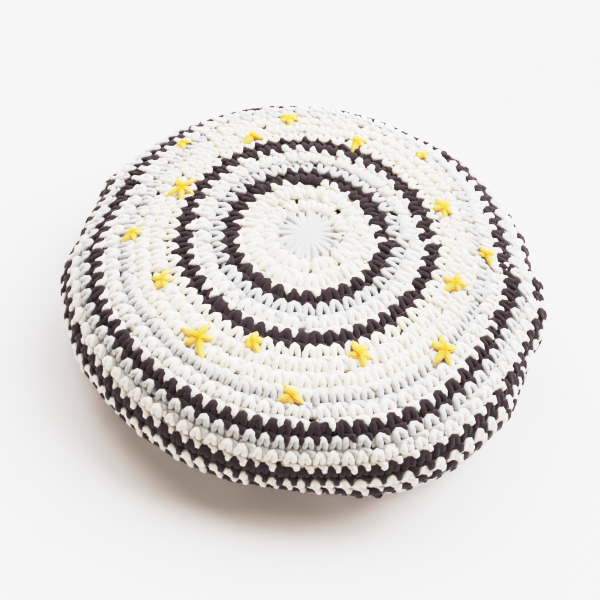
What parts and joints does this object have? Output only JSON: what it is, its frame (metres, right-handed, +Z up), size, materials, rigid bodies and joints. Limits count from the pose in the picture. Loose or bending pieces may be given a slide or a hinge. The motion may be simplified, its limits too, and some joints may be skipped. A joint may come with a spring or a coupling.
{
  "type": "crocheted beret",
  "caption": "Soft crocheted beret lying crown up, worked in striped rounds from a rosette to a rolled rim, with embroidered stars and a round head opening below.",
  "frame": {"origin": "on the floor under the middle of the rim's outline, at the centre of the lower edge of the head band", "axes": "+Z up through the crown, +X to the right and +Y to the back as the picture sees the hat"},
  "size_m": [0.2748, 0.2573, 0.0624],
  "materials": {
    "cream_yarn": "matte cotton yarn",
    "white_yarn": "matte cotton yarn",
    "grey_yarn": "matte cotton yarn",
    "dark_yarn": "matte cotton yarn",
    "yellow_yarn": "matte embroidery yarn"
  },
  "bodies": {
    "root": {"rosette": "grey_yarn", "cream_centre": "cream_yarn", "dark_round_1": "dark_yarn", "grey_round_1": "grey_yarn", "white_round_1": "white_yarn", "dark_round_2": "dark_yarn", "star_field": "cream_yarn", "grey_round_2": "grey_yarn", "white_round_2": "white_yarn", "dark_round_3": "dark_yarn", "grey_round_3": "grey_yarn", "white_round_3": "white_yarn", "dark_round_4": "dark_yarn", "white_round_4": "white_yarn", "dark_round_5": "dark_yarn", "underside": "white_yarn", "head_band": "white_yarn", "star_01": "yellow_yarn", "star_02": "yellow_yarn", "star_03": "yellow_yarn", "star_04": "yellow_yarn", "star_05": "yellow_yarn", "star_06": "yellow_yarn", "star_07": "yellow_yarn", "star_08": "yellow_yarn", "star_09": "yellow_yarn", "star_10": "yellow_yarn", "star_11": "yellow_yarn", "star_12": "yellow_yarn", "star_13": "yellow_yarn", "star_14": "yellow_yarn", "star_15": "yellow_yarn", "star_16": "yellow_yarn"}
  },
  "joints": []
}
